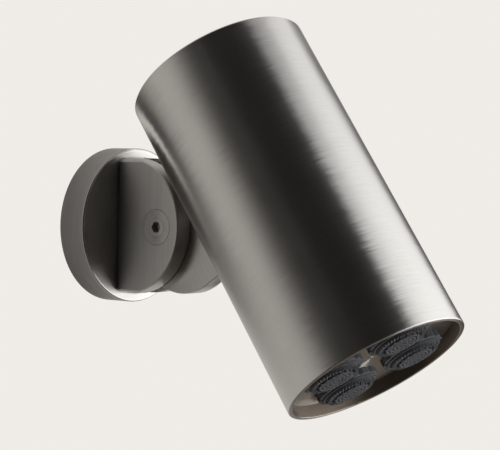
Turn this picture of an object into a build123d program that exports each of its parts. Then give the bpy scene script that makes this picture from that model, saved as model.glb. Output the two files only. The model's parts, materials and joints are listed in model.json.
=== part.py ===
"""A wall-mounted shower head: a steel tube with four jets that tilts on a forked wall disc."""
import os
from math import radians, sin

from build123d import *

# Hinge and tube placing
rest_tilt = 35.5
pivot_from_wall = 32.2
pivot_to_tube_axis = 51.2
pivot_below_tube_top = 36.2

# Wall disc
disc_diameter = 60.4
disc_thickness = 12.2
disc_edge_radius = 0.6
gasket_diameter = 54.0
gasket_width = 6.0
gasket_thickness = 1.2

# Fork on the disc, cut from round stock
fork_stock_diameter = 54.8
fork_width = 21.8
fork_end_radius = 26.4
fork_tip_past_pivot = 11.0
fork_edge_chamfer = 0.4
fork_root = 1.0
fork_neck_height = 0.7
fork_neck_inset = 0.5

# Tab between the fork's arms
tab_thickness = 7.2
tab_side_gap = 0.35
tab_tip_radius = 18.5
tab_below_pivot = 28.9
tab_corner_radius = 22.5
tab_edge_chamfer = 0.3

# Pivot screw, bush and washers
hexagon_sides = 6
screw_diameter = 6.0
screw_head_diameter = 13.6
screw_head_room = 0.15
screw_socket_width = 4.0
screw_socket_depth = 2.6
screw_end_cover = 1.4
bush_diameter = 12.0
bush_bore = 8.6
bush_neck_length = 2.4
bush_near_seat = 2.0
bush_far_seat = 3.2
bush_running_gap = 0.05
bush_slot_width = 2.6
bush_slot_depth = 2.0
bush_port = 2.2
bush_hole_room = 0.2
bush_seal_width = 1.4
bush_seal_depth = 1.0
bush_seal_from_middle = 2.4
washer_diameter = 20.0
washer_play = 0.05

# Water ways
arm_channel = 4.0
tab_channel = 4.0
tab_groove_diameter = 14.6
tab_groove_width = 2.4

# Inlet nipple, G1/2
nipple_thread = 20.955
nipple_reach = 14.0
nipple_head_diameter = 28.0
nipple_recess = 4.8
nipple_head_thickness = 4.2
nipple_bore = 11.0
nipple_chamber_diameter = 20.0
nipple_chamber_depth = 1.5
nipple_seal_inside = 22.0
nipple_seal_width = 2.0
nipple_seal_depth = 1.1
nipple_cup_diameter = 15.0
nipple_end_chamfer = 0.8
regulator_thickness = 4.0
regulator_hole = 2.0
regulator_holes = 6
regulator_ring_diameter = 8.0
filter_thickness = 2.0
filter_hole = 1.2
filter_holes = 12
filter_ring_diameter = 9.0

# Tube
tube_diameter = 70.0
tube_wall = 1.8
tube_length = 131.0
tube_lower_edge = 0.4
tube_upper_edge = 0.6
tube_inner_edge = 0.3
cap_thickness = 4.0
cap_edge = 0.4
ring_groove_width = 2.4
ring_groove_depth = 1.5

# Saddle inside the tube, with its screws and gasket
saddle_gasket_thickness = 1.0
saddle_gasket_room = 0.06
saddle_width = 24.0
saddle_end = 7.0
saddle_thickness = 4.5
saddle_boss_width = 14.0
saddle_boss_height = 16.0
barb_from_saddle = 12.5
stub_diameter = 6.0
stub_depth_in_tab = 5.0
hole_room = 0.2
tab_screw_diameter = 4.0
tab_screw_edge = 6.5
tab_screw_depth = 9.0
tab_screw_head = 7.0
tab_screw_head_height = 4.0
tab_screw_socket = 3.0
tab_screw_socket_depth = 2.0

# Hose
barb_diameter = 8.0
barb_length = 12.0
barb_bore = 4.0
hose_wall = 2.0
hose_end_gap = 1.0
clip_wall = 1.0
clip_height = 6.0
clip_from_end = 3.0

# Nozzle plate and manifold
plate_setback = 5.0
plate_thickness = 5.0
manifold_gasket_thickness = 1.0
manifold_height = 14.0
manifold_roof = 3.0
manifold_wall = 2.0
manifold_room = 0.3
pillar_diameter = 7.0
pillar_sink = 0.9
plate_screw_diameter = 3.0
plate_screw_bite = 4.0
plate_screw_head = 5.5
plate_screw_head_height = 3.0
plate_screw_socket = 2.5
plate_screw_socket_depth = 1.5

# Jets
jet_count = 4
jet_turn = -17.0
jet_edge_room = 2.4
jet_spacing = 2.6
jet_flange_lip = 2.0
jet_flange_height = 2.4
jet_scallops = 24
jet_scallop_radius = 0.75
jet_thread_wall = 2.25
jet_thread_past_plate = 3.0
jet_seal_width = 1.0
jet_seal_thickness = 0.8
jet_core_above_flange = 6.0
jet_core_wall = 2.25
jet_core_roof = 1.2
jet_rim_setin = 2.8
jet_rim_base = 1.2
jet_rim_height = 0.7
jet_rim_width = 1.4
jet_rim_groove = 0.55
jet_face_height = 1.2
screen_setin = 1.0
screen_flange_width = 3.0
screen_flange = 1.0
screen_cup_height = 2.4
screen_wall = 0.8

# Worked-out places
fork_reach = pivot_from_wall + fork_tip_past_pivot
slot_width = tab_thickness + 2 * tab_side_gap
arm_middle = (slot_width + fork_width) / 4
neck_front = disc_thickness + fork_neck_height
tab_height = tab_tip_radius + tab_below_pivot
tab_middle = (tab_tip_radius - tab_below_pivot) / 2
tab_screw_spacing = tab_height - 2 * tab_screw_edge
tube_radius = tube_diameter / 2
tube_bore_radius = tube_radius - tube_wall
tube_y = -pivot_to_tube_axis
tube_top = pivot_below_tube_top
tube_bottom = tube_top - tube_length
tube_face = pivot_to_tube_axis - tube_radius
plate_bottom = tube_bottom + plate_setback
plate_top = plate_bottom + plate_thickness
manifold_bottom = plate_top + manifold_gasket_thickness
manifold_top = manifold_bottom + manifold_height
manifold_radius = tube_bore_radius - manifold_room
pillar_circle_radius = manifold_radius - manifold_wall - pillar_diameter / 2 + pillar_sink
pillar_turn = jet_turn + 180 / jet_count
saddle_height = tab_screw_spacing + 2 * saddle_end
saddle_bottom = tab_middle - saddle_height / 2
saddle_radius = tube_bore_radius - saddle_gasket_thickness
saddle_flat = pivot_to_tube_axis - saddle_radius + saddle_thickness
barb_y = -saddle_flat - barb_from_saddle
saddle_boss_depth = barb_from_saddle + saddle_boss_width / 2
upper_barb_top = -saddle_boss_height / 2
hose_top = upper_barb_top - hose_end_gap
hose_bottom = manifold_top + hose_end_gap
hose_radius = barb_diameter / 2 + hose_wall
bush_start = -slot_width / 2 - bush_near_seat
bush_end = slot_width / 2 + bush_far_seat
screw_radius = screw_diameter / 2
screw_head_radius = screw_head_diameter / 2
screw_start = -fork_width / 2
screw_end = fork_width / 2 - screw_end_cover
sink_radius = screw_head_radius + screw_head_room
shank_hole_radius = screw_radius + bush_hole_room

# Jets sized so that they fill the bore with the named gaps
jet_reach = tube_bore_radius - jet_edge_room
jet_chord = 2 * sin(radians(180 / jet_count))
jet_flange_diameter = (jet_reach * jet_chord - jet_spacing) / (1 + jet_chord / 2)
jet_circle_radius = jet_reach - jet_flange_diameter / 2
jet_thread = jet_flange_diameter - 2 * jet_flange_lip
jet_bore = jet_thread - 2 * jet_thread_wall
jet_core_bore = jet_bore - 2 * jet_core_wall
jet_rim_diameter = jet_flange_diameter - 2 * jet_rim_setin
jet_face_diameter = jet_rim_diameter - 2 * (jet_rim_width + jet_rim_groove)
flange_bottom = plate_bottom - jet_flange_height
rim_bottom = flange_bottom - jet_rim_base
screen_diameter = jet_thread - 2 * screen_setin
screen_cup_diameter = screen_diameter - 2 * screen_flange_width
screen_bottom = plate_top + jet_thread_past_plate

# Shared planes, axes and the head's place
hinge = Plane(origin=(0, -pivot_from_wall, 0), x_dir=(0, 1, 0), z_dir=(1, 0, 0))
hinge_axis = Axis((0, -pivot_from_wall, 0), (1, 0, 0))
head_place = Pos(0, -pivot_from_wall, 0) * Rot(-rest_tilt, 0, 0)
wall_place = Location((0, 0, 0))

# Fork: a round-ended block trimmed to the round stock, on a slim neck
with BuildPart() as fork:
    with BuildSketch(Plane.XZ.offset(neck_front)):
        Circle(fork_stock_diameter / 2)
        Rectangle(fork_width, fork_stock_diameter, mode=Mode.INTERSECT)
    extrude(amount=fork_reach - neck_front)
    with BuildSketch(Plane.YZ):
        with Locations((fork_end_radius - fork_reach, 0)):
            Circle(fork_end_radius)
            Rectangle(fork_reach, 2 * fork_end_radius, align=(Align.MIN, Align.CENTER))
    extrude(amount=fork_width, both=True, mode=Mode.INTERSECT)
    side_edges = fork.faces().sort_by(Axis.X)[0].edges() + fork.faces().sort_by(Axis.X)[-1].edges()
    chamfer(side_edges.filter_by(lambda e: e.center().Y < -neck_front - fork_edge_chamfer), fork_edge_chamfer)
    with BuildSketch(Plane.XZ.offset(disc_thickness - fork_root)):
        Circle(fork_stock_diameter / 2 - fork_neck_inset)
        Rectangle(fork_width - 2 * fork_neck_inset, fork_stock_diameter, mode=Mode.INTERSECT)
    extrude(amount=fork_root + fork_neck_height)

# Wall bracket: disc and fork in one piece
with BuildPart() as bracket:
    with BuildSketch(Plane.XZ):
        Circle(disc_diameter / 2)
    extrude(amount=disc_thickness)
    front_rim = bracket.edges().filter_by(GeomType.CIRCLE).group_by(Axis.Y)[0]
    fillet(front_rim, disc_edge_radius)
    add(fork.part)
    # slot between the arms
    with BuildSketch(Plane.XZ.offset(disc_thickness)):
        Rectangle(slot_width, disc_diameter)
    extrude(amount=fork_reach, mode=Mode.SUBTRACT)
    # groove for the wall gasket and recess for the nipple
    with BuildSketch(Plane.XZ):
        Circle(gasket_diameter / 2)
        Circle(gasket_diameter / 2 - gasket_width, mode=Mode.SUBTRACT)
    extrude(amount=gasket_thickness, mode=Mode.SUBTRACT)
    with BuildSketch(Plane.XZ):
        Circle(nipple_head_diameter / 2)
    extrude(amount=nipple_recess, mode=Mode.SUBTRACT)
    # water channel along the far arm
    with BuildSketch(Plane.XZ):
        with Locations((arm_middle, 0)):
            Circle(arm_channel / 2)
    extrude(amount=pivot_from_wall - bush_bore / 2, mode=Mode.SUBTRACT)
    # countersunk hole in the near arm, seats for the bush and the tapped hole in the far arm
    with BuildSketch(Plane.XY):
        with Locations((0, -pivot_from_wall)):
            Polygon(
                (screw_start, 0),
                (screw_start, sink_radius),
                (screw_start + sink_radius - shank_hole_radius, shank_hole_radius),
                (bush_start, shank_hole_radius),
                (bush_start, bush_diameter / 2),
                (bush_end, bush_diameter / 2),
                (bush_end, screw_radius),
                (screw_end, screw_radius),
                (screw_end, 0),
                align=None,
            )
    revolve(axis=hinge_axis, mode=Mode.SUBTRACT)

# Wall gasket
with BuildPart() as wall_gasket:
    with BuildSketch(Plane.XZ):
        Circle(gasket_diameter / 2)
        Circle(gasket_diameter / 2 - gasket_width, mode=Mode.SUBTRACT)
    extrude(amount=gasket_thickness)

# Inlet nipple
with BuildPart() as nipple:
    with BuildSketch(Plane.XZ.offset(nipple_recess - nipple_head_thickness)):
        Circle(nipple_head_diameter / 2)
    extrude(amount=nipple_head_thickness)
    with BuildSketch(Plane.XZ.offset(-nipple_reach)):
        Circle(nipple_thread / 2)
    extrude(amount=nipple_reach + nipple_recess - nipple_head_thickness)
    thread_end = nipple.edges().filter_by(GeomType.CIRCLE).group_by(Axis.Y)[-1]
    chamfer(thread_end, nipple_end_chamfer)
    with BuildSketch(Plane.XZ.offset(-nipple_reach)):
        Circle(nipple_bore / 2)
    extrude(amount=nipple_reach + nipple_recess, mode=Mode.SUBTRACT)
    with BuildSketch(Plane.XZ.offset(-nipple_reach)):
        Circle(nipple_cup_diameter / 2)
    extrude(amount=regulator_thickness + filter_thickness, mode=Mode.SUBTRACT)
    with BuildSketch(Plane.XZ.offset(nipple_recess - nipple_chamber_depth)):
        Circle(nipple_chamber_diameter / 2)
    extrude(amount=nipple_chamber_depth, mode=Mode.SUBTRACT)
    with BuildSketch(Plane.XZ.offset(nipple_recess - nipple_seal_depth)):
        Circle(nipple_seal_inside / 2 + nipple_seal_width)
        Circle(nipple_seal_inside / 2, mode=Mode.SUBTRACT)
    extrude(amount=nipple_seal_depth, mode=Mode.SUBTRACT)

# Ring under the nipple's head
with BuildPart() as nipple_seal:
    with BuildSketch(Plane.XZ.offset(nipple_recess - nipple_seal_depth)):
        Circle(nipple_seal_inside / 2 + nipple_seal_width)
        Circle(nipple_seal_inside / 2, mode=Mode.SUBTRACT)
    extrude(amount=nipple_seal_depth)

# Flow regulator in the nipple
with BuildPart() as regulator:
    with BuildSketch(Plane.XZ.offset(filter_thickness - nipple_reach)):
        Circle(nipple_cup_diameter / 2)
        with PolarLocations(regulator_ring_diameter / 2, regulator_holes):
            Circle(regulator_hole / 2, mode=Mode.SUBTRACT)
    extrude(amount=regulator_thickness)

# Inlet filter at the nipple's end
with BuildPart() as inlet_filter:
    with BuildSketch(Plane.XZ.offset(-nipple_reach)):
        Circle(nipple_cup_diameter / 2)
        with PolarLocations(filter_ring_diameter / 2, filter_holes):
            Circle(filter_hole / 2, mode=Mode.SUBTRACT)
    extrude(amount=filter_thickness)

# Pivot screw
with BuildPart() as pivot_screw:
    with BuildSketch(Plane.XY):
        with Locations((0, -pivot_from_wall)):
            Polygon(
                (screw_start, 0),
                (screw_start, screw_head_radius),
                (screw_start + screw_head_radius - screw_radius, screw_radius),
                (screw_end, screw_radius),
                (screw_end, 0),
                align=None,
            )
    revolve(axis=hinge_axis)
    with BuildSketch(hinge.offset(screw_start)):
        RegularPolygon(screw_socket_width / 2, hexagon_sides, major_radius=False)
    extrude(amount=screw_socket_depth, mode=Mode.SUBTRACT)

# Hollow bush that the tab turns on
with BuildPart() as bush:
    with BuildSketch(hinge.offset(bush_start)):
        Circle(bush_diameter / 2)
        Circle(shank_hole_radius, mode=Mode.SUBTRACT)
    extrude(amount=bush_end - bush_start)
    with BuildSketch(hinge.offset(bush_start + bush_neck_length)):
        Circle(bush_bore / 2)
    extrude(amount=bush_end - bush_start - bush_neck_length, mode=Mode.SUBTRACT)
    # slots at the far end and ports at the middle
    with BuildSketch(hinge.offset(bush_end - bush_slot_depth)):
        Rectangle(2 * bush_diameter, bush_slot_width)
        Rectangle(bush_slot_width, 2 * bush_diameter)
    extrude(amount=bush_slot_depth, mode=Mode.SUBTRACT)
    with BuildSketch(Plane.XZ.offset(pivot_from_wall)):
        Circle(bush_port / 2)
    extrude(amount=bush_diameter, both=True, mode=Mode.SUBTRACT)
    # grooves for the two seals
    with BuildSketch(
        hinge.offset(-bush_seal_from_middle - bush_seal_width / 2),
        hinge.offset(bush_seal_from_middle - bush_seal_width / 2),
    ):
        Circle(bush_diameter / 2)
        Circle(bush_diameter / 2 - bush_seal_depth, mode=Mode.SUBTRACT)
    extrude(amount=bush_seal_width, mode=Mode.SUBTRACT)

# Seals on the bush
with BuildPart() as bush_seals:
    with BuildSketch(
        hinge.offset(-bush_seal_from_middle - bush_seal_width / 2),
        hinge.offset(bush_seal_from_middle - bush_seal_width / 2),
    ):
        Circle(bush_diameter / 2)
        Circle(bush_diameter / 2 - bush_seal_depth, mode=Mode.SUBTRACT)
    extrude(amount=bush_seal_width)

# Friction washers beside the tab
with BuildPart() as washers:
    with BuildSketch(
        hinge.offset(-slot_width / 2),
        hinge.offset(tab_thickness / 2 + washer_play),
    ):
        Circle(washer_diameter / 2)
        Circle(bush_diameter / 2, mode=Mode.SUBTRACT)
    extrude(amount=tab_side_gap - washer_play)

# The pieces below are drawn upright with the pivot at the origin, then tilted
upright_hinge = Plane.YZ

# Hinge tab
with BuildPart() as tab:
    with BuildSketch(upright_hinge):
        with Locations((tab_tip_radius, tab_middle)):
            Rectangle(tab_tip_radius + tube_face + tab_thickness, tab_height, align=(Align.MAX, Align.CENTER))
        fillet(vertices().group_by(Axis.X)[-1].sort_by(Axis.Y)[-1], tab_tip_radius)
        fillet(vertices().group_by(Axis.X)[-1].sort_by(Axis.Y)[0], tab_corner_radius)
    extrude(amount=tab_thickness / 2, both=True)
    with BuildSketch(Plane.XY):
        with Locations((0, tube_y)):
            Circle(tube_radius)
    extrude(amount=tab_height, both=True, mode=Mode.SUBTRACT)
    flat_edges = tab.faces().sort_by(Axis.X)[0].edges() + tab.faces().sort_by(Axis.X)[-1].edges()
    chamfer(flat_edges.filter_by(lambda e: e.center().Y > -tube_face), tab_edge_chamfer)
    # bore with its water groove
    with BuildSketch(upright_hinge):
        Circle(bush_diameter / 2 + bush_running_gap)
    extrude(amount=tab_thickness, both=True, mode=Mode.SUBTRACT)
    with BuildSketch(upright_hinge):
        Circle(tab_groove_diameter / 2)
    extrude(amount=tab_groove_width / 2, both=True, mode=Mode.SUBTRACT)
    # channel to the tube, the stub's seat and the tapped holes
    with BuildSketch(Plane.XZ):
        Circle(tab_channel / 2)
    extrude(amount=tube_face, mode=Mode.SUBTRACT)
    with BuildSketch(Plane.XZ.offset(tube_face - stub_depth_in_tab)):
        Circle(stub_diameter / 2)
    extrude(amount=2 * stub_depth_in_tab, mode=Mode.SUBTRACT)
    with BuildSketch(Plane.XZ.offset(tube_face - tab_screw_depth)):
        with Locations((0, tab_middle)), GridLocations(0, tab_screw_spacing, 1, 2):
            Circle(tab_screw_diameter / 2)
    extrude(amount=2 * tab_screw_depth, mode=Mode.SUBTRACT)

# Saddle with its water elbow
with BuildPart() as saddle:
    with BuildSketch(Plane.XY.offset(saddle_bottom)):
        with Locations((0, tube_y)):
            Circle(saddle_radius)
        with Locations((0, -saddle_flat)):
            Rectangle(saddle_width, saddle_radius, align=(Align.CENTER, Align.MIN), mode=Mode.INTERSECT)
    extrude(amount=saddle_height)
    with BuildSketch(Plane.XZ.offset(saddle_flat)):
        Rectangle(saddle_boss_width, saddle_boss_height)
    extrude(amount=saddle_boss_depth)
    with BuildSketch(Plane.XZ.offset(tube_face - stub_depth_in_tab)):
        Circle(stub_diameter / 2)
    extrude(amount=saddle_flat - tube_face + stub_depth_in_tab)
    with BuildSketch(Plane.XY.offset(upper_barb_top - barb_length)):
        with Locations((0, barb_y)):
            Circle(barb_diameter / 2)
    extrude(amount=barb_length)
    # water way from the stub to the barb
    with BuildSketch(Plane.XZ.offset(tube_face - stub_depth_in_tab)):
        Circle(barb_bore / 2)
    extrude(amount=stub_depth_in_tab - tube_face - barb_y + barb_bore / 2, mode=Mode.SUBTRACT)
    with BuildSketch(Plane.XY.offset(upper_barb_top - barb_length)):
        with Locations((0, barb_y)):
            Circle(barb_bore / 2)
    extrude(amount=barb_length - upper_barb_top, mode=Mode.SUBTRACT)
    with BuildSketch(Plane.XZ):
        with Locations((0, tab_middle)), GridLocations(0, tab_screw_spacing, 1, 2):
            Circle(tab_screw_diameter / 2 + hole_room)
    extrude(amount=pivot_to_tube_axis, mode=Mode.SUBTRACT)

# Gasket between saddle and tube
with BuildPart() as saddle_gasket:
    with BuildSketch(Plane.XY.offset(saddle_bottom)):
        with Locations((0, tube_y)):
            Circle(tube_bore_radius - saddle_gasket_room)
            Circle(saddle_radius, mode=Mode.SUBTRACT)
        with Locations((0, -saddle_flat)):
            Rectangle(saddle_width, saddle_radius, align=(Align.CENTER, Align.MIN), mode=Mode.INTERSECT)
    extrude(amount=saddle_height)
    with BuildSketch(Plane.XZ):
        Circle(stub_diameter / 2 + hole_room)
        with Locations((0, tab_middle)), GridLocations(0, tab_screw_spacing, 1, 2):
            Circle(tab_screw_diameter / 2 + hole_room)
    extrude(amount=pivot_to_tube_axis, mode=Mode.SUBTRACT)

# Screws through the saddle into the tab
with BuildPart() as tab_screws:
    with BuildSketch(Plane.XZ.offset(tube_face - tab_screw_depth)):
        with Locations((0, tab_middle)), GridLocations(0, tab_screw_spacing, 1, 2):
            Circle(tab_screw_diameter / 2)
    extrude(amount=saddle_flat - tube_face + tab_screw_depth)
    with BuildSketch(Plane.XZ.offset(saddle_flat)):
        with Locations((0, tab_middle)), GridLocations(0, tab_screw_spacing, 1, 2):
            Circle(tab_screw_head / 2)
    extrude(amount=tab_screw_head_height)
    with BuildSketch(Plane.XZ.offset(saddle_flat + tab_screw_head_height - tab_screw_socket_depth)):
        with Locations((0, tab_middle)), GridLocations(0, tab_screw_spacing, 1, 2):
            RegularPolygon(tab_screw_socket / 2, hexagon_sides, major_radius=False)
    extrude(amount=tab_screw_socket_depth, mode=Mode.SUBTRACT)

# Feed hose
with BuildPart() as hose:
    with BuildSketch(Plane.XY.offset(hose_bottom)):
        with Locations((0, barb_y)):
            Circle(hose_radius)
            Circle(barb_diameter / 2, mode=Mode.SUBTRACT)
    extrude(amount=hose_top - hose_bottom)

# Clips on the hose
with BuildPart() as clips:
    with BuildSketch(
        Plane.XY.offset(hose_top - clip_from_end - clip_height),
        Plane.XY.offset(hose_bottom + clip_from_end),
    ):
        with Locations((0, barb_y)):
            Circle(hose_radius + clip_wall)
            Circle(hose_radius, mode=Mode.SUBTRACT)
    extrude(amount=clip_height)

# Tube
with BuildPart() as tube:
    with BuildSketch(Plane.XY.offset(tube_bottom)):
        with Locations((0, tube_y)):
            Circle(tube_radius)
            Circle(tube_bore_radius, mode=Mode.SUBTRACT)
    extrude(amount=tube_length)
    fillet(tube.edges().group_by(Axis.Z)[0].sort_by(SortBy.RADIUS)[-1], tube_lower_edge)
    fillet(tube.edges().group_by(Axis.Z)[0].sort_by(SortBy.RADIUS)[0], tube_inner_edge)
    chamfer(tube.edges().group_by(Axis.Z)[-1].sort_by(SortBy.RADIUS)[-1], tube_upper_edge)
    with BuildSketch(Plane.XZ):
        Circle(stub_diameter / 2 + hole_room)
        with Locations((0, tab_middle)), GridLocations(0, tab_screw_spacing, 1, 2):
            Circle(tab_screw_diameter / 2 + hole_room)
    extrude(amount=pivot_to_tube_axis, mode=Mode.SUBTRACT)

# Top cap
with BuildPart() as cap:
    with BuildSketch(Plane.XY.offset(tube_top - cap_thickness)):
        with Locations((0, tube_y)):
            Circle(tube_bore_radius)
    extrude(amount=cap_thickness)
    chamfer(cap.edges().group_by(Axis.Z)[-1], cap_edge)
    with BuildSketch(Plane.XY.offset(tube_top - cap_thickness / 2 - ring_groove_width / 2)):
        with Locations((0, tube_y)):
            Circle(tube_bore_radius)
            Circle(tube_bore_radius - ring_groove_depth, mode=Mode.SUBTRACT)
    extrude(amount=ring_groove_width, mode=Mode.SUBTRACT)

# Ring round the cap
with BuildPart() as cap_seal:
    with BuildSketch(Plane.XY.offset(tube_top - cap_thickness / 2 - ring_groove_width / 2)):
        with Locations((0, tube_y)):
            Circle(tube_bore_radius)
            Circle(tube_bore_radius - ring_groove_depth, mode=Mode.SUBTRACT)
    extrude(amount=ring_groove_width)

# Nozzle plate
with BuildPart() as plate:
    with BuildSketch(Plane.XY.offset(plate_bottom)):
        with Locations((0, tube_y)):
            Circle(tube_bore_radius)
            with PolarLocations(jet_circle_radius, jet_count, start_angle=jet_turn):
                Circle(jet_thread / 2, mode=Mode.SUBTRACT)
    extrude(amount=plate_thickness)
    with BuildSketch(Plane.XY.offset(plate_bottom + plate_thickness / 2 - ring_groove_width / 2)):
        with Locations((0, tube_y)):
            Circle(tube_bore_radius)
            Circle(tube_bore_radius - ring_groove_depth, mode=Mode.SUBTRACT)
    extrude(amount=ring_groove_width, mode=Mode.SUBTRACT)
    with BuildSketch(Plane.XY.offset(plate_top - plate_screw_bite)):
        with Locations((0, tube_y)):
            with PolarLocations(pillar_circle_radius, jet_count, start_angle=pillar_turn):
                Circle(plate_screw_diameter / 2)
    extrude(amount=plate_screw_bite, mode=Mode.SUBTRACT)

# Ring round the plate
with BuildPart() as plate_seal:
    with BuildSketch(Plane.XY.offset(plate_bottom + plate_thickness / 2 - ring_groove_width / 2)):
        with Locations((0, tube_y)):
            Circle(tube_bore_radius)
            Circle(tube_bore_radius - ring_groove_depth, mode=Mode.SUBTRACT)
    extrude(amount=ring_groove_width)

# Manifold over the plate
with BuildPart() as manifold:
    with BuildSketch(Plane.XY.offset(manifold_bottom)):
        with Locations((0, tube_y)):
            Circle(manifold_radius)
            Circle(manifold_radius - manifold_wall, mode=Mode.SUBTRACT)
            with PolarLocations(pillar_circle_radius, jet_count, start_angle=pillar_turn):
                Circle(pillar_diameter / 2)
    extrude(amount=manifold_height - manifold_roof)
    with BuildSketch(Plane.XY.offset(manifold_top - manifold_roof)):
        with Locations((0, tube_y)):
            Circle(manifold_radius)
    extrude(amount=manifold_roof)
    with BuildSketch(Plane.XY.offset(manifold_top)):
        with Locations((0, barb_y)):
            Circle(barb_diameter / 2)
    extrude(amount=barb_length)
    with BuildSketch(Plane.XY.offset(manifold_top - manifold_roof)):
        with Locations((0, barb_y)):
            Circle(barb_bore / 2)
    extrude(amount=barb_length + manifold_roof, mode=Mode.SUBTRACT)
    with BuildSketch(Plane.XY.offset(manifold_bottom)):
        with Locations((0, tube_y)):
            with PolarLocations(pillar_circle_radius, jet_count, start_angle=pillar_turn):
                Circle(plate_screw_diameter / 2 + hole_room)
    extrude(amount=manifold_height, mode=Mode.SUBTRACT)

# Gasket under the manifold
with BuildPart() as manifold_gasket:
    with BuildSketch(Plane.XY.offset(plate_top)):
        with Locations((0, tube_y)):
            Circle(manifold_radius)
            Circle(manifold_radius - manifold_wall, mode=Mode.SUBTRACT)
            with PolarLocations(pillar_circle_radius, jet_count, start_angle=pillar_turn):
                Circle(pillar_diameter / 2)
                Circle(plate_screw_diameter / 2 + hole_room, mode=Mode.SUBTRACT)
    extrude(amount=manifold_gasket_thickness)

# Screws through the manifold into the plate
with BuildPart() as manifold_screws:
    with BuildSketch(Plane.XY.offset(plate_top - plate_screw_bite)):
        with Locations((0, tube_y)):
            with PolarLocations(pillar_circle_radius, jet_count, start_angle=pillar_turn):
                Circle(plate_screw_diameter / 2)
    extrude(amount=plate_screw_bite + manifold_top - plate_top)
    with BuildSketch(Plane.XY.offset(manifold_top)):
        with Locations((0, tube_y)):
            with PolarLocations(pillar_circle_radius, jet_count, start_angle=pillar_turn):
                Circle(plate_screw_head / 2)
    extrude(amount=plate_screw_head_height)
    with BuildSketch(Plane.XY.offset(manifold_top + plate_screw_head_height - plate_screw_socket_depth)):
        with Locations((0, tube_y)):
            with PolarLocations(pillar_circle_radius, jet_count, start_angle=pillar_turn):
                RegularPolygon(plate_screw_socket / 2, hexagon_sides, major_radius=False)
    extrude(amount=plate_screw_socket_depth, mode=Mode.SUBTRACT)

# Jet housings
with BuildPart() as housings:
    with BuildSketch(Plane.XY.offset(flange_bottom)):
        with Locations((0, tube_y)):
            with PolarLocations(jet_circle_radius, jet_count, start_angle=jet_turn):
                Circle(jet_flange_diameter / 2)
                Circle(jet_bore / 2, mode=Mode.SUBTRACT)
                with PolarLocations(jet_flange_diameter / 2, jet_scallops):
                    Circle(jet_scallop_radius, mode=Mode.SUBTRACT)
    extrude(amount=jet_flange_height)
    with BuildSketch(Plane.XY.offset(plate_bottom)):
        with Locations((0, tube_y)):
            with PolarLocations(jet_circle_radius, jet_count, start_angle=jet_turn):
                Circle(jet_thread / 2)
                Circle(jet_bore / 2, mode=Mode.SUBTRACT)
    extrude(amount=plate_thickness + jet_thread_past_plate)
    with BuildSketch(Plane.XY.offset(plate_bottom - jet_seal_thickness)):
        with Locations((0, tube_y)):
            with PolarLocations(jet_circle_radius, jet_count, start_angle=jet_turn):
                Circle(jet_thread / 2 + jet_seal_width)
                Circle(jet_thread / 2, mode=Mode.SUBTRACT)
    extrude(amount=jet_seal_thickness, mode=Mode.SUBTRACT)

# Seals under the jets' flanges
with BuildPart() as jet_seals:
    with BuildSketch(Plane.XY.offset(plate_bottom - jet_seal_thickness)):
        with Locations((0, tube_y)):
            with PolarLocations(jet_circle_radius, jet_count, start_angle=jet_turn):
                Circle(jet_thread / 2 + jet_seal_width)
                Circle(jet_thread / 2, mode=Mode.SUBTRACT)
    extrude(amount=jet_seal_thickness)

# Jet cores with their spray faces
with BuildPart() as cores:
    with BuildSketch(Plane.XY.offset(flange_bottom)):
        with Locations((0, tube_y)):
            with PolarLocations(jet_circle_radius, jet_count, start_angle=jet_turn):
                Circle(jet_bore / 2)
    extrude(amount=jet_core_above_flange)
    with BuildSketch(Plane.XY.offset(rim_bottom)):
        with Locations((0, tube_y)):
            with PolarLocations(jet_circle_radius, jet_count, start_angle=jet_turn):
                Circle(jet_rim_diameter / 2)
    extrude(amount=jet_rim_base)
    with BuildSketch(Plane.XY.offset(rim_bottom - jet_rim_height)):
        with Locations((0, tube_y)):
            with PolarLocations(jet_circle_radius, jet_count, start_angle=jet_turn):
                Circle(jet_rim_diameter / 2)
                Circle(jet_rim_diameter / 2 - jet_rim_width, mode=Mode.SUBTRACT)
    extrude(amount=jet_rim_height)
    with BuildSketch(Plane.XY.offset(rim_bottom - jet_face_height)):
        with Locations((0, tube_y)):
            with PolarLocations(jet_circle_radius, jet_count, start_angle=jet_turn):
                Circle(jet_face_diameter / 2)
    extrude(amount=jet_face_height)
    with BuildSketch(Plane.XY.offset(flange_bottom + jet_core_roof)):
        with Locations((0, tube_y)):
            with PolarLocations(jet_circle_radius, jet_count, start_angle=jet_turn):
                Circle(jet_core_bore / 2)
    extrude(amount=jet_core_above_flange - jet_core_roof, mode=Mode.SUBTRACT)

# Inlet screens of the jets
with BuildPart() as screens:
    with BuildSketch(Plane.XY.offset(screen_bottom)):
        with Locations((0, tube_y)):
            with PolarLocations(jet_circle_radius, jet_count, start_angle=jet_turn):
                Circle(screen_diameter / 2)
    extrude(amount=screen_flange)
    with BuildSketch(Plane.XY.offset(screen_bottom + screen_flange)):
        with Locations((0, tube_y)):
            with PolarLocations(jet_circle_radius, jet_count, start_angle=jet_turn):
                Circle(screen_cup_diameter / 2)
    extrude(amount=screen_cup_height)
    with BuildSketch(Plane.XY.offset(screen_bottom)):
        with Locations((0, tube_y)):
            with PolarLocations(jet_circle_radius, jet_count, start_angle=jet_turn):
                Circle(screen_cup_diameter / 2 - screen_wall)
    extrude(amount=screen_flange + screen_cup_height - screen_wall, mode=Mode.SUBTRACT)

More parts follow.
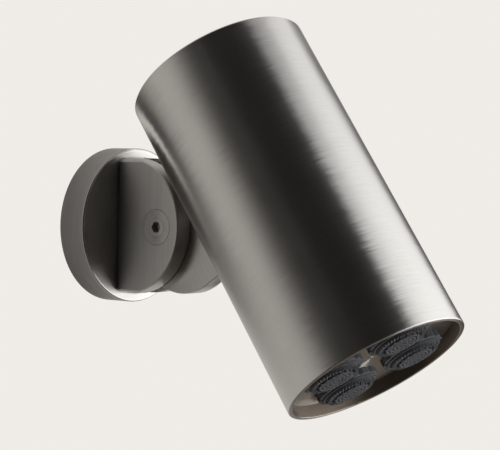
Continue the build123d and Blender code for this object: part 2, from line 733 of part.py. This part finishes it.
# Hand in each piece in the shared frame
pieces = {
    "wall_bracket": (bracket, wall_place),
    "wall_gasket": (wall_gasket, wall_place),
    "inlet_nipple": (nipple, wall_place),
    "nipple_seal": (nipple_seal, wall_place),
    "flow_regulator": (regulator, wall_place),
    "inlet_filter": (inlet_filter, wall_place),
    "pivot_screw": (pivot_screw, wall_place),
    "pivot_bush": (bush, wall_place),
    "bush_seals": (bush_seals, wall_place),
    "friction_washers": (washers, wall_place),
    "hinge_tab": (tab, head_place),
    "port_saddle": (saddle, head_place),
    "saddle_gasket": (saddle_gasket, head_place),
    "tab_screws": (tab_screws, head_place),
    "feed_hose": (hose, head_place),
    "hose_clips": (clips, head_place),
    "tube_shell": (tube, head_place),
    "top_cap": (cap, head_place),
    "cap_seal": (cap_seal, head_place),
    "nozzle_plate": (plate, head_place),
    "plate_seal": (plate_seal, head_place),
    "manifold": (manifold, head_place),
    "manifold_gasket": (manifold_gasket, head_place),
    "manifold_screws": (manifold_screws, head_place),
    "jet_housings": (housings, head_place),
    "jet_cores": (cores, head_place),
    "jet_seals": (jet_seals, head_place),
    "jet_screens": (screens, head_place),
}
os.makedirs("parts", exist_ok=True)
for label, (piece, place) in pieces.items():
    placed = piece.part.moved(place)
    placed.label = label
    export_step(placed, f"parts/{label}.step")
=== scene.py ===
"""Looks of the wall-mounted shower head: brushed steel, moulded jets and soft studio light."""

import json
from math import cos, pi, radians, sin

import bpy
from mathutils import Matrix, Vector


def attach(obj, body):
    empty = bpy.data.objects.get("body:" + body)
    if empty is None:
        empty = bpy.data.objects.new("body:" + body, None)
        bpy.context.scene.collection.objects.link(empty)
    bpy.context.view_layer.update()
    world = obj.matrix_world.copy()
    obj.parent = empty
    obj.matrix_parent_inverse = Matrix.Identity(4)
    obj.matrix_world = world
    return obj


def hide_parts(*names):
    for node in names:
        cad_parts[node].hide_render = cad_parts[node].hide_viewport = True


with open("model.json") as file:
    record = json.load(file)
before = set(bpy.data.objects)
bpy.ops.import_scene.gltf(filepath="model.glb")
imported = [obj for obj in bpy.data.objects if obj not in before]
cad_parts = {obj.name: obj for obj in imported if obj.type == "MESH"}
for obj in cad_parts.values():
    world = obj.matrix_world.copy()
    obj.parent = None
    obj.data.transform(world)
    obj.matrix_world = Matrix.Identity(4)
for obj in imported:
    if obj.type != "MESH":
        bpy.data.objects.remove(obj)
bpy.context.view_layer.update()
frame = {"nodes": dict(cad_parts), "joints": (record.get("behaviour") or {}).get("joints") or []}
bpy.context.scene.view_settings.view_transform = "Standard"

# Camera, fitted to the photograph's outlines
view_azimuth = radians(-50.93)
view_elevation = radians(1.70)
view_roll = radians(1.17)
view_distance = 0.71835
view_right = 0.05407
view_up = -0.00038
photo_width = 500
focal_pixels = 1803.0
sensor_width = 36.0

# Hinge and tube places, metres, with the head's own frame upright about the pivot
hinge = frame["joints"][0]
pivot = Vector(hinge["pos_m"])
rest_tilt = radians(-hinge["range_deg"][0])
tube_middle = -0.0512
tube_bottom = -0.0948
tube_inside = 0.03325
fork_back = -0.0126
disc_edge_radius = 0.0296
disc_edge_back = -0.0116
disc_edge_rough = 0.12
head_turn = Matrix.Rotation(rest_tilt, 3, "X")
head_place = Matrix.Translation(pivot) @ Matrix.Rotation(-rest_tilt, 4, "X")

# Jets, metres
jet_count = 4
jet_turn = radians(-17.0)
jet_circle_radius = 0.0188
jet_base = tube_bottom + 0.005
jet_flange_radius = 0.012
jet_scallops = 14
jet_scallop_depth = 0.0006
jet_keys = 4
jet_ring_slots = 40
jet_face_bars = 16
jet_steps = 360

# Steel finishes, background and light levels
steel = (0.605, 0.592, 0.567)
# painted shade for the tube's inner wall: a dark warm colour that stands in for the recess's shade; raw_rough
# is the inner wall's rougher finish
recess_shade_color = (0.27, 0.217, 0.173, 1.0)
raw_rough = 0.6
brush_lines = 2600.0
brush_spread = 3.0
brush_rough = 0.30
brush_waver = 0.06
brush_anisotropy = 0.9
streak_dark = 0.80
streak_light = 1.16
smudge_scale = 45.0
smudge_rough = 0.04
drawn_lines = 60.0
drawn_fan = 0.5
screw_lines = 900.0
screw_spread = 0.2
backdrop_color = (0.863, 0.840, 0.799, 1.0)
white = (1.0, 1.0, 1.0, 1.0)
fill_level = 0.55
# painted shade: the dark warm colour that metal sees in the floor's place, where the camera sees the floor
# pale
floor_reflection_shade = (0.22, 0.18, 0.15, 1.0)
floor_below = -0.34
floor_radius = 1.2
floor_fade = 0.35
floor_rough = 0.9
floor_steps = 96
card_middle = -0.07
card_step = 3


def add_node(tree, kind, **settings):
    """A shader node with its settings."""
    made = tree.nodes.new(kind)
    for key, value in settings.items():
        setattr(made, key, value)
    return made


def put(tree, value, socket):
    """A socket's input: linked from another socket or set to a plain value."""
    if isinstance(value, bpy.types.NodeSocket):
        tree.links.new(value, socket)
    else:
        socket.default_value = value


def vector_math(tree, operation, first, second=(0.0, 0.0, 0.0)):
    """The vector output of a vector-math node."""
    made = add_node(tree, "ShaderNodeVectorMath", operation=operation)
    put(tree, first, made.inputs[0])
    put(tree, second, made.inputs[1])
    return made.outputs["Vector"]


def scaled(tree, vector, factor):
    """A vector times a number."""
    made = add_node(tree, "ShaderNodeVectorMath", operation="SCALE")
    put(tree, vector, made.inputs[0])
    put(tree, factor, made.inputs["Scale"])
    return made.outputs["Vector"]


def math(tree, operation, first, second=0.0):
    """The output of a math node."""
    made = add_node(tree, "ShaderNodeMath", operation=operation)
    put(tree, first, made.inputs[0])
    put(tree, second, made.inputs[1])
    return made.outputs[0]


def turned(tree, vector, turn, invert=False):
    """A vector turned from the object's frame into a local one, or back."""
    made = add_node(tree, "ShaderNodeVectorRotate", rotation_type="EULER_XYZ", invert=invert)
    put(tree, vector, made.inputs["Vector"])
    made.inputs["Rotation"].default_value = turn.to_euler("XYZ")
    return made.outputs["Vector"]


def noise(tree, vector, scale, detail=2.0):
    """The value of a noise texture."""
    made = add_node(tree, "ShaderNodeTexNoise")
    put(tree, vector, made.inputs["Vector"])
    made.inputs["Scale"].default_value = scale
    made.inputs["Detail"].default_value = detail
    return made.outputs["Fac"]


def mapped(tree, value, low, high, first=0.0, last=1.0, ease="LINEAR"):
    """A value between first and last spread over low to high."""
    made = add_node(tree, "ShaderNodeMapRange", interpolation_type=ease)
    put(tree, value, made.inputs["Value"])
    made.inputs["From Min"].default_value = first
    made.inputs["From Max"].default_value = last
    made.inputs["To Min"].default_value = low
    made.inputs["To Max"].default_value = high
    return made.outputs["Result"]


def mixed(tree, value, first, second, kind="RGBA"):
    """A colour or vector between two, by a value."""
    made = add_node(tree, "ShaderNodeMix", data_type=kind)
    put(tree, value, made.inputs["Factor"])
    ends = [socket for socket in made.inputs if socket.enabled and socket.name in ("A", "B")]
    put(tree, first, ends[0])
    put(tree, second, ends[1])
    return next(socket for socket in made.outputs if socket.enabled)


def new_material(name):
    """A procedural material, its node tree and its shader."""
    material = bpy.data.materials.new(name)
    material.use_nodes = True
    return material, material.node_tree, material.node_tree.nodes["Principled BSDF"]


def lathe_grain(tree, place, centre, turn, density=brush_lines, spread=brush_spread):
    """Brush direction and streak pattern of turning about a local Z axis, in the object's frame."""
    local = turned(tree, vector_math(tree, "SUBTRACT", place, centre), turn)
    flat = vector_math(tree, "MULTIPLY", local, (1.0, 1.0, 0.0))
    radial = vector_math(tree, "NORMALIZE", flat)
    along = vector_math(tree, "CROSS_PRODUCT", (0.0, 0.0, 1.0), radial)
    reach = add_node(tree, "ShaderNodeVectorMath", operation="LENGTH")
    tree.links.new(flat, reach.inputs[0])
    rings = add_node(tree, "ShaderNodeCombineXYZ")
    put(tree, math(tree, "MULTIPLY", reach.outputs["Value"], density), rings.inputs["X"])
    heights = vector_math(tree, "MULTIPLY", local, (0.0, 0.0, density))
    lines = vector_math(tree, "ADD", rings.outputs[0], heights)
    lines = vector_math(tree, "ADD", lines, scaled(tree, radial, spread))
    return turned(tree, along, turn, invert=True), lines


def ring_grain(tree, place, centre, turn):
    """Coarser, unbroken rings that turning leaves on a small face."""
    return lathe_grain(tree, place, centre, turn, screw_lines, screw_spread)


def drawn_grain(tree, place, centre, turn):
    """Brush direction and streak pattern of straight brushing along a local Z axis, in the object's frame."""
    local = turned(tree, vector_math(tree, "SUBTRACT", place, centre), turn)
    along = vector_math(tree, "ADD", scaled(tree, local, drawn_fan), (0.0, 0.0, 1.0))
    lines = vector_math(tree, "MULTIPLY", local, (brush_lines, brush_lines, drawn_lines))
    return turned(tree, along, turn, invert=True), lines


def finish_steel(tree, shader, place, along, lines, rough, waver, dark=streak_dark, light=streak_light):
    """Gloss spread across the brush lines, with each line leaning a little to one side."""
    normal = add_node(tree, "ShaderNodeNewGeometry").outputs["Normal"]
    to_world = add_node(tree, "ShaderNodeVectorTransform", vector_type="VECTOR")
    to_world.convert_from = "OBJECT"
    to_world.convert_to = "WORLD"
    tree.links.new(along, to_world.inputs[0])
    along = to_world.outputs[0]
    streak = noise(tree, lines, 1.0, 3.0)
    smudge = noise(tree, place, smudge_scale)
    lean = scaled(tree, along, mapped(tree, streak, -waver, waver))
    bent = vector_math(tree, "NORMALIZE", vector_math(tree, "ADD", normal, lean))
    tree.links.new(bent, shader.inputs["Normal"])
    tree.links.new(vector_math(tree, "CROSS_PRODUCT", normal, along), shader.inputs["Tangent"])
    darker = (*[dark * part for part in steel], 1.0)
    lighter = (*[light * part for part in steel], 1.0)
    tree.links.new(mixed(tree, streak, darker, lighter), shader.inputs["Base Color"])
    uneven = mapped(tree, smudge, rough - smudge_rough, rough + smudge_rough)
    tree.links.new(uneven, shader.inputs["Roughness"])
    shader.inputs["Metallic"].default_value = 1.0
    shader.inputs["Anisotropic"].default_value = brush_anisotropy


def brushed_steel(
    name, grain, centre, turn, rough=brush_rough, waver=brush_waver, dark=streak_dark, light=streak_light
):
    """Steel brushed one way."""
    material, tree, shader = new_material(name)
    place = add_node(tree, "ShaderNodeTexCoord").outputs["Object"]
    along, lines = grain(tree, place, centre, turn)
    finish_steel(tree, shader, place, along, lines, rough, waver, dark, light)
    return material


def shade_tube_inside(material, centre, turn, radius):
    """The same steel inside a tube about a local Z axis, rougher there and in painted shade: a dark warm
    colour stands in for the recess's shade.
    """
    tree = material.node_tree
    shader = tree.nodes["Principled BSDF"]
    place = add_node(tree, "ShaderNodeTexCoord").outputs["Object"]
    local = turned(tree, vector_math(tree, "SUBTRACT", place, centre), turn)
    reach = add_node(tree, "ShaderNodeVectorMath", operation="LENGTH")
    tree.links.new(vector_math(tree, "MULTIPLY", local, (1.0, 1.0, 0.0)), reach.inputs[0])
    inside = math(tree, "LESS_THAN", reach.outputs["Value"], radius)
    # inside the tube the colour is painted shade, and the roughness is the inner wall's own rougher finish
    for name, inside_setting, kind in (("Base Color", recess_shade_color, "RGBA"), ("Roughness", raw_rough, "FLOAT")):
        outer = shader.inputs[name].links[0].from_socket
        tree.links.new(mixed(tree, inside, outer, inside_setting, kind), shader.inputs[name])
    return material


def bracket_steel(name, disc_turn, rough=brush_rough, waver=brush_waver):
    """The bracket's steel: turned on the disc and brushed upright on the fork in front of it."""
    material, tree, shader = new_material(name)
    place = add_node(tree, "ShaderNodeTexCoord").outputs["Object"]
    split = add_node(tree, "ShaderNodeSeparateXYZ")
    tree.links.new(place, split.inputs[0])
    in_front = math(tree, "LESS_THAN", split.outputs["Y"], fork_back)
    disc_along, disc_lines = lathe_grain(tree, place, (0.0, 0.0, 0.0), disc_turn)
    fork_along, fork_lines = drawn_grain(tree, place, (0.0, 0.0, 0.0), Matrix.Identity(3))
    along = mixed(tree, in_front, disc_along, fork_along, "VECTOR")
    lines = mixed(tree, in_front, disc_lines, fork_lines, "VECTOR")
    finish_steel(tree, shader, place, along, lines, rough, waver)
    # the disc's rounded front edge is smoother than its faces
    reach = add_node(tree, "ShaderNodeVectorMath", operation="LENGTH")
    tree.links.new(vector_math(tree, "MULTIPLY", place, (1.0, 0.0, 1.0)), reach.inputs[0])
    outside = math(tree, "GREATER_THAN", reach.outputs["Value"], disc_edge_radius)
    on_edge = math(tree, "MULTIPLY", outside, math(tree, "LESS_THAN", split.outputs["Y"], disc_edge_back))
    faces_rough = shader.inputs["Roughness"].links[0].from_socket
    tree.links.new(mixed(tree, on_edge, faces_rough, disc_edge_rough, "FLOAT"), shader.inputs["Roughness"])
    return material


mould_patches = 60.0
mould_dark = 0.82
mould_light = 1.15
mould_rough = 0.07
mould_bump = 0.0001


def moulded(name, color, rough, grain=900.0, depth=0.12, metallic=0.0, gloss=0.5):
    """Moulded plastic, rubber or plain machined metal with a fine grain."""
    material, tree, shader = new_material(name)
    place = add_node(tree, "ShaderNodeTexCoord").outputs["Object"]
    fine = noise(tree, place, grain, 3.0)
    broad = noise(tree, place, mould_patches)
    darker = (*[mould_dark * part for part in color], 1.0)
    lighter = (*[min(1.0, mould_light * part) for part in color], 1.0)
    tree.links.new(mixed(tree, broad, darker, lighter), shader.inputs["Base Color"])
    tree.links.new(mapped(tree, fine, rough - mould_rough, rough + mould_rough), shader.inputs["Roughness"])
    bump = add_node(tree, "ShaderNodeBump")
    bump.inputs["Strength"].default_value = depth
    bump.inputs["Distance"].default_value = mould_bump
    tree.links.new(fine, bump.inputs["Height"])
    tree.links.new(bump.outputs["Normal"], shader.inputs["Normal"])
    shader.inputs["Metallic"].default_value = metallic
    shader.inputs["Specular IOR Level"].default_value = gloss
    return material


def new_mesh(name, points, faces, material, smooth=False):
    """A mesh object from points and faces."""
    mesh = bpy.data.meshes.new(name)
    mesh.from_pydata(points, [], faces)
    mesh.validate()
    mesh.update()
    for face in mesh.polygons:
        face.use_smooth = smooth
    made = bpy.data.objects.new(name, mesh)
    made.data.materials.append(material)
    bpy.context.scene.collection.objects.link(made)
    return made


# Materials for the CAD nodes
tube_centre = pivot + head_turn.inverted() @ Vector((0.0, tube_middle, 0.0))
disc_turn = Matrix.Rotation(radians(90.0), 3, "X")
screw_turn = Matrix.Rotation(radians(90.0), 3, "Y")
looks = {
    "tube_shell": shade_tube_inside(
        brushed_steel("tube_steel", lathe_grain, tube_centre, head_turn, waver=0.07, dark=0.90, light=1.09),
        tube_centre,
        head_turn,
        tube_inside,
    ),
    "top_cap": brushed_steel("cap_steel", lathe_grain, tube_centre, head_turn),
    "nozzle_plate": brushed_steel(
        "plate_steel", lathe_grain, tube_centre, head_turn, rough=0.40, dark=0.95, light=1.38
    ),
    "wall_bracket": bracket_steel("bracket_steel", disc_turn),
    "hinge_tab": brushed_steel("tab_steel", drawn_grain, pivot, head_turn),
    "pivot_screw": brushed_steel(
        "screw_steel", ring_grain, pivot, screw_turn, rough=0.28, waver=0.03, dark=0.35, light=1.6
    ),
}
brass = moulded("brass", (0.62, 0.46, 0.20), 0.30, metallic=1.0)
rubber = moulded("rubber", (0.028, 0.028, 0.028), 0.6)
inner_plastic = moulded("inner_plastic", (0.62, 0.62, 0.60), 0.45)
hose_skin = moulded("hose_skin", (0.42, 0.42, 0.40), 0.5)
jet_plastic = moulded("jet_plastic", (0.110, 0.114, 0.124), 0.60, gloss=0.25)
plain_steel = moulded("plain_steel", steel, 0.35, metallic=1.0)
for node in ("inlet_nipple", "pivot_bush", "port_saddle"):
    looks[node] = brass
for node in ("wall_gasket", "nipple_seal", "bush_seals", "saddle_gasket", "cap_seal", "plate_seal"):
    looks[node] = rubber
for node in ("manifold_gasket", "jet_seals"):
    looks[node] = rubber
for node in ("flow_regulator", "inlet_filter", "friction_washers", "manifold", "jet_screens"):
    looks[node] = inner_plastic
for node in ("tab_screws", "hose_clips", "manifold_screws"):
    looks[node] = plain_steel
looks["feed_hose"] = hose_skin
looks["jet_housings"] = jet_plastic
looks["jet_cores"] = jet_plastic
for node, material in looks.items():
    shown = frame["nodes"][node]
    shown.data.materials.clear()
    shown.data.materials.append(material)


def bars(angle, count, share, edge):
    """1 over a share of each of count equal spans of a turn and 0 elsewhere, with soft edges."""
    phase = (angle * count / (2 * pi)) % 1.0
    return max(0.0, min(1.0, (share / 2 - abs(phase - 0.5)) / edge + 0.5))


# A jet's steps from the middle out, millimetres: outer radius and height over the plate
rib_pitch = 1.42
rib_width = 0.86
face_radius = 7.1
ring_inside = 7.7
ring_outside = 9.2
ring_foot = 9.7
tier_outside = 10.5
face_level = 4.8
face_floor = 3.9
groove_level = 3.0
ring_level = 4.3
slot_level = 3.7
flange_level = 2.4
tier_level = 3.1
foot_drop = 0.3
key_level = 1.0
step_half = 0.05
flange_rounding = ((0.35, 0.0), (0.10, 0.10), (0.0, 0.35))

# Shares of a jet's spans that its bars, slots and keys take, and their soft edges
face_bar_share = 0.25
face_bar_edge = 0.05
slot_share = 0.36
slot_edge = 0.10
key_share = 0.06
key_edge = 0.01


def jet_level(radius, angle):
    """How far a jet stands out from the plate at a radius and angle, millimetres."""
    if radius < face_radius:
        if radius % rib_pitch < rib_width:
            return face_level
        on_bar = bars(angle, jet_face_bars, face_bar_share, face_bar_edge)
        return face_floor + (face_level - face_floor) * on_bar
    if radius < ring_inside:
        return groove_level
    if radius < ring_outside:
        return ring_level - (ring_level - slot_level) * bars(angle, jet_ring_slots, slot_share, slot_edge)
    if radius < ring_foot:
        return tier_level - foot_drop
    if radius < tier_outside:
        return tier_level
    return flange_level - (flange_level - key_level) * bars(angle, jet_keys, key_share, key_edge)


def build_jet(index):
    """One moulded jet on the plate: scalloped flange, slotted ring and ribbed face."""
    turn = jet_turn + index * 2 * pi / jet_count
    middle = Vector((jet_circle_radius * cos(turn), tube_middle + jet_circle_radius * sin(turn), jet_base))
    ribs = int(face_radius / rib_pitch)
    edges = [rib * rib_pitch + part for rib in range(ribs) for part in (rib_width, rib_pitch)]
    edges += [face_radius, ring_inside, ring_outside, ring_foot, tier_outside]
    radii = []
    for edge in sorted({round(edge, 3) for edge in edges}):
        radii += [edge - step_half, edge + step_half]
    angles = [2 * pi * step / jet_steps for step in range(jet_steps)]
    rings = [[(radius / 1000.0, jet_level(radius, angle)) for angle in angles] for radius in radii]
    # the flange's scalloped edge, rounded at its top
    for inset, drop in (*flange_rounding, (0.0, flange_level)):
        ring = []
        for angle in angles:
            scallop = jet_scallop_depth * (0.5 - 0.5 * cos(angle * jet_scallops)) ** 3
            reach = jet_flange_radius - inset / 1000.0 - scallop
            level = jet_level(reach * 1000.0, angle)
            ring.append((reach, max(0.0, level - drop)))
        rings.append(ring)
    points = [(0.0, 0.0, -face_level / 1000.0)]
    for ring in rings:
        for angle, (reach, level) in zip(angles, ring):
            points.append((reach * cos(angle), reach * sin(angle), -level / 1000.0))
    # a fan round the middle, a strip between each two rings and one face at the back
    faces = [(0, 1 + (step + 1) % jet_steps, 1 + step) for step in range(jet_steps)]
    for row in range(len(rings) - 1):
        near, far = 1 + row * jet_steps, 1 + (row + 1) * jet_steps
        for step in range(jet_steps):
            after = (step + 1) % jet_steps
            faces.append((near + step, near + after, far + after, far + step))
    back = 1 + (len(rings) - 1) * jet_steps
    faces.append(tuple(back + step for step in range(jet_steps)))
    piece = new_mesh(f"jet_{index + 1}", points, faces, jet_plastic)
    piece.matrix_world = head_place @ Matrix.Translation(middle)
    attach(piece, "head")
    return piece


jets = [build_jet(index) for index in range(jet_count)]
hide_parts("jet_housings", "jet_cores")


def card_light(name, level, profile, bottom=1.0, top=1.0, color=white):
    """A studio card's light.

    A profile runs from its first edge to its last, with shares of the level at the bottom and the top.
    """
    material, tree, shader = new_material(name)
    tree.nodes.remove(shader)
    across = add_node(tree, "ShaderNodeAttribute", attribute_name="across").outputs["Fac"]
    rise = add_node(tree, "ShaderNodeAttribute", attribute_name="rise").outputs["Fac"]
    ramp = add_node(tree, "ShaderNodeValToRGB")
    tree.links.new(across, ramp.inputs["Fac"])
    ramp.color_ramp.interpolation = "EASE"
    stops = ramp.color_ramp.elements
    while len(stops) < len(profile):
        stops.new(1.0)
    for stop, (position, share) in zip(stops, profile):
        stop.position = position
        stop.color = (share, share, share, 1.0)
    strength = math(tree, "MULTIPLY", ramp.outputs["Color"], mapped(tree, rise, bottom * level, top * level))
    light = add_node(tree, "ShaderNodeEmission")
    light.inputs["Color"].default_value = color
    tree.links.new(strength, light.inputs["Strength"])
    tree.links.new(light.outputs[0], tree.nodes["Material Output"].inputs["Surface"])
    return material


def stage_card(name, points, faces, material, across, rise):
    """A studio card that only light and reflections see, with its light's places across and up it."""
    card = new_mesh(name, points, faces, material)
    card.data.attributes.new("across", "FLOAT", "POINT").data.foreach_set("value", across)
    card.data.attributes.new("rise", "FLOAT", "POINT").data.foreach_set("value", rise)
    card.visible_camera = False
    return card


def add_card(name, first, last, low, high, distance, material, lean=0.0):
    """A curved upright card round the object, between two compass angles and two heights.

    Its last edge leans out by an angle at the top.
    """
    columns = round((last - first) / card_step)
    points = []
    across = []
    for column in range(columns + 1):
        for height, out in ((low, 0.0), (high, lean)):
            angle = radians(first + (last + out - first) * column / columns)
            points.append((distance * cos(angle), card_middle + distance * sin(angle), height))
            across.append(column / columns)
    faces = [(2 * n, 2 * n + 2, 2 * n + 3, 2 * n + 1) for n in range(columns)]
    stage_card(name, points, faces, material, across, [0.0, 1.0] * (columns + 1))


def add_ceiling(name, half_width, front, rear, height, material):
    """A level card over the object."""
    points = [(side * half_width, end, height) for end in (front, rear) for side in (-1, 1)]
    stage_card(name, points, [(0, 1, 3, 2)], material, [0.0] * 4, [0.0] * 4)


def add_wall(name, behind, hole, reach, shade, fade, material):
    """A wall card behind the disc with a hole round the inlet.

    Its glow is a painted reflection of a lit wall, with a painted contact shadow by the distance from the
    disc's shade, and painted shade that fades it to the right between two places.
    """
    rings, steps = 30, 72
    points = []
    across = []
    rise = []
    for ring in range(rings + 1):
        radius = hole + (reach - hole) * (ring / rings) ** 2
        for step in range(steps):
            angle = 2 * pi * step / steps
            place = Vector((radius * cos(angle), behind, radius * sin(angle)))
            points.append(place)
            across.append(min(1.0, (place - Vector(shade)).length / reach))
            rise.append(max(0.0, min(1.0, (place.x - fade[0]) / (fade[1] - fade[0]))))
    faces = []
    for ring in range(rings):
        for step in range(steps):
            after = (step + 1) % steps
            near, far = ring * steps, (ring + 1) * steps
            faces.append((near + step, near + after, far + after, far + step))
    card = stage_card(name, points, faces, material, across, rise)
    # it lights nothing and casts no shadow: only reflections see its painted glow
    card.visible_diffuse = False
    card.visible_shadow = False


# Card lights and cards
flat_profile = ((0.0, 1.0), (1.0, 1.0))
warm = (1.0, 0.86, 0.75, 1.0)
dusk = (1.0, 0.95, 0.88, 1.0)
cream = (1.0, 0.97, 0.93, 1.0)
soft_profile = ((0.0, 0.14), (0.12, 0.80), (0.28, 0.97), (0.55, 0.94), (0.75, 0.85), (0.9, 0.77), (1.0, 0.5))
# painted contact shadow on the wall card: dark near the disc's shade, full further out, dimmer again at its
# far end
wall_shadow_profile = ((0.09, 0.14), (0.125, 0.52), (0.15, 0.72), (0.22, 0.95), (0.4, 1.0), (0.64, 0.6), (1.0, 0.15))
dark_cloth = card_light("dark_cloth", 0.018, flat_profile, color=dusk)
end_cloth = card_light("end_cloth", 0.05, flat_profile, color=dusk)
softbox_cloth = card_light("softbox_cloth", 1.6, soft_profile, bottom=1.62, top=0.46)
rear_cloth = card_light("rear_cloth", 0.26, flat_profile, bottom=1.0, top=0.3, color=warm)
# the wall card's glow is a painted reflection of a lit wall, seen only in the metal
wall_reflection_glow = card_light("wall_reflection_glow", 0.6, wall_shadow_profile, bottom=1.0, top=0.1, color=cream)
add_card(
    "softbox", first=-92, last=-14, low=-0.30, high=0.72, distance=0.45, material=softbox_cloth, lean=27.0
)
add_card("front_flag", first=-196, last=-93, low=-0.33, high=0.76, distance=0.47, material=dark_cloth)
add_card("end_flag", first=-17, last=24, low=-0.33, high=0.40, distance=0.55, material=end_cloth)
add_card("rear_flag", first=4, last=52, low=-0.33, high=0.02, distance=0.30, material=rear_cloth)
add_ceiling("ceiling_flag", half_width=0.5, front=-0.6, rear=0.15, height=0.76, material=dark_cloth)
# centre of the wall card's painted contact shadow, and the span over which painted shade dims it to the right
disc_shade = (-0.016, 0.015, -0.004)
wall_fade = (0.24, 0.36)
add_wall("wall_card", 0.015, 0.036, 0.45, disc_shade, wall_fade, wall_reflection_glow)


def add_floor():
    """A pale floor, in painted shade for reflections, that fades into the backdrop at its edge and keeps the
    object's shadow.
    """
    material, tree, shader = new_material("floor_paint")
    mirrored = add_node(tree, "ShaderNodeLightPath").outputs["Is Glossy Ray"]
    # glossy rays see the floor in painted shade, the camera sees it pale
    tree.links.new(mixed(tree, mirrored, backdrop_color, floor_reflection_shade), shader.inputs["Base Color"])
    shader.inputs["Roughness"].default_value = floor_rough
    place = add_node(tree, "ShaderNodeTexCoord").outputs["Object"]
    reach = add_node(tree, "ShaderNodeVectorMath", operation="LENGTH")
    tree.links.new(place, reach.inputs[0])
    fade_start = floor_fade * floor_radius
    fade = mapped(tree, reach.outputs["Value"], 0.0, 1.0, fade_start, floor_radius, "SMOOTHSTEP")
    mix = add_node(tree, "ShaderNodeMixShader")
    clear = add_node(tree, "ShaderNodeBsdfTransparent")
    tree.links.new(fade, mix.inputs["Fac"])
    tree.links.new(shader.outputs[0], mix.inputs[1])
    tree.links.new(clear.outputs[0], mix.inputs[2])
    tree.links.new(mix.outputs[0], tree.nodes["Material Output"].inputs["Surface"])
    turns = [2 * pi * step / floor_steps for step in range(floor_steps)]
    points = [(floor_radius * cos(turn), floor_radius * sin(turn), 0.0) for turn in turns]
    floor = new_mesh("floor", points, [tuple(range(floor_steps))], material)
    floor.location = (0.0, card_middle, floor_below)


def add_world():
    """An even pale backdrop that metal shows too, and a plain fill light."""
    world = bpy.data.worlds.new("studio")
    world.use_nodes = True
    tree = world.node_tree
    seen = tree.nodes["Background"]
    seen.inputs["Color"].default_value = backdrop_color
    seen.inputs["Strength"].default_value = 1.0
    fill = add_node(tree, "ShaderNodeBackground")
    fill.inputs["Color"].default_value = white
    fill.inputs["Strength"].default_value = fill_level
    path = add_node(tree, "ShaderNodeLightPath")
    mirrored = math(tree, "MAXIMUM", path.outputs["Is Glossy Ray"], path.outputs["Is Transmission Ray"])
    mix = add_node(tree, "ShaderNodeMixShader")
    put(tree, math(tree, "MAXIMUM", path.outputs["Is Camera Ray"], mirrored), mix.inputs["Fac"])
    tree.links.new(fill.outputs[0], mix.inputs[1])
    tree.links.new(seen.outputs[0], mix.inputs[2])
    tree.links.new(mix.outputs[0], tree.nodes["World Output"].inputs["Surface"])
    bpy.context.scene.world = world


def add_camera():
    """The photograph's camera."""
    level = cos(view_elevation)
    back = Vector((sin(view_azimuth) * level, -cos(view_azimuth) * level, sin(view_elevation)))
    level_right = Vector((cos(view_azimuth), sin(view_azimuth), 0.0))
    level_up = back.cross(level_right)
    right = level_right * cos(view_roll) + level_up * sin(view_roll)
    up = level_up * cos(view_roll) - level_right * sin(view_roll)
    data = bpy.data.cameras.new("camera")
    data.sensor_width = sensor_width
    data.lens = focal_pixels * sensor_width / photo_width
    camera = bpy.data.objects.new("camera", data)
    place = Matrix((right, up, back)).transposed().to_4x4()
    place.translation = back * view_distance + right * view_right + up * view_up
    camera.matrix_world = place
    bpy.context.scene.collection.objects.link(camera)
    bpy.context.scene.camera = camera


add_floor()
add_world()
add_camera()
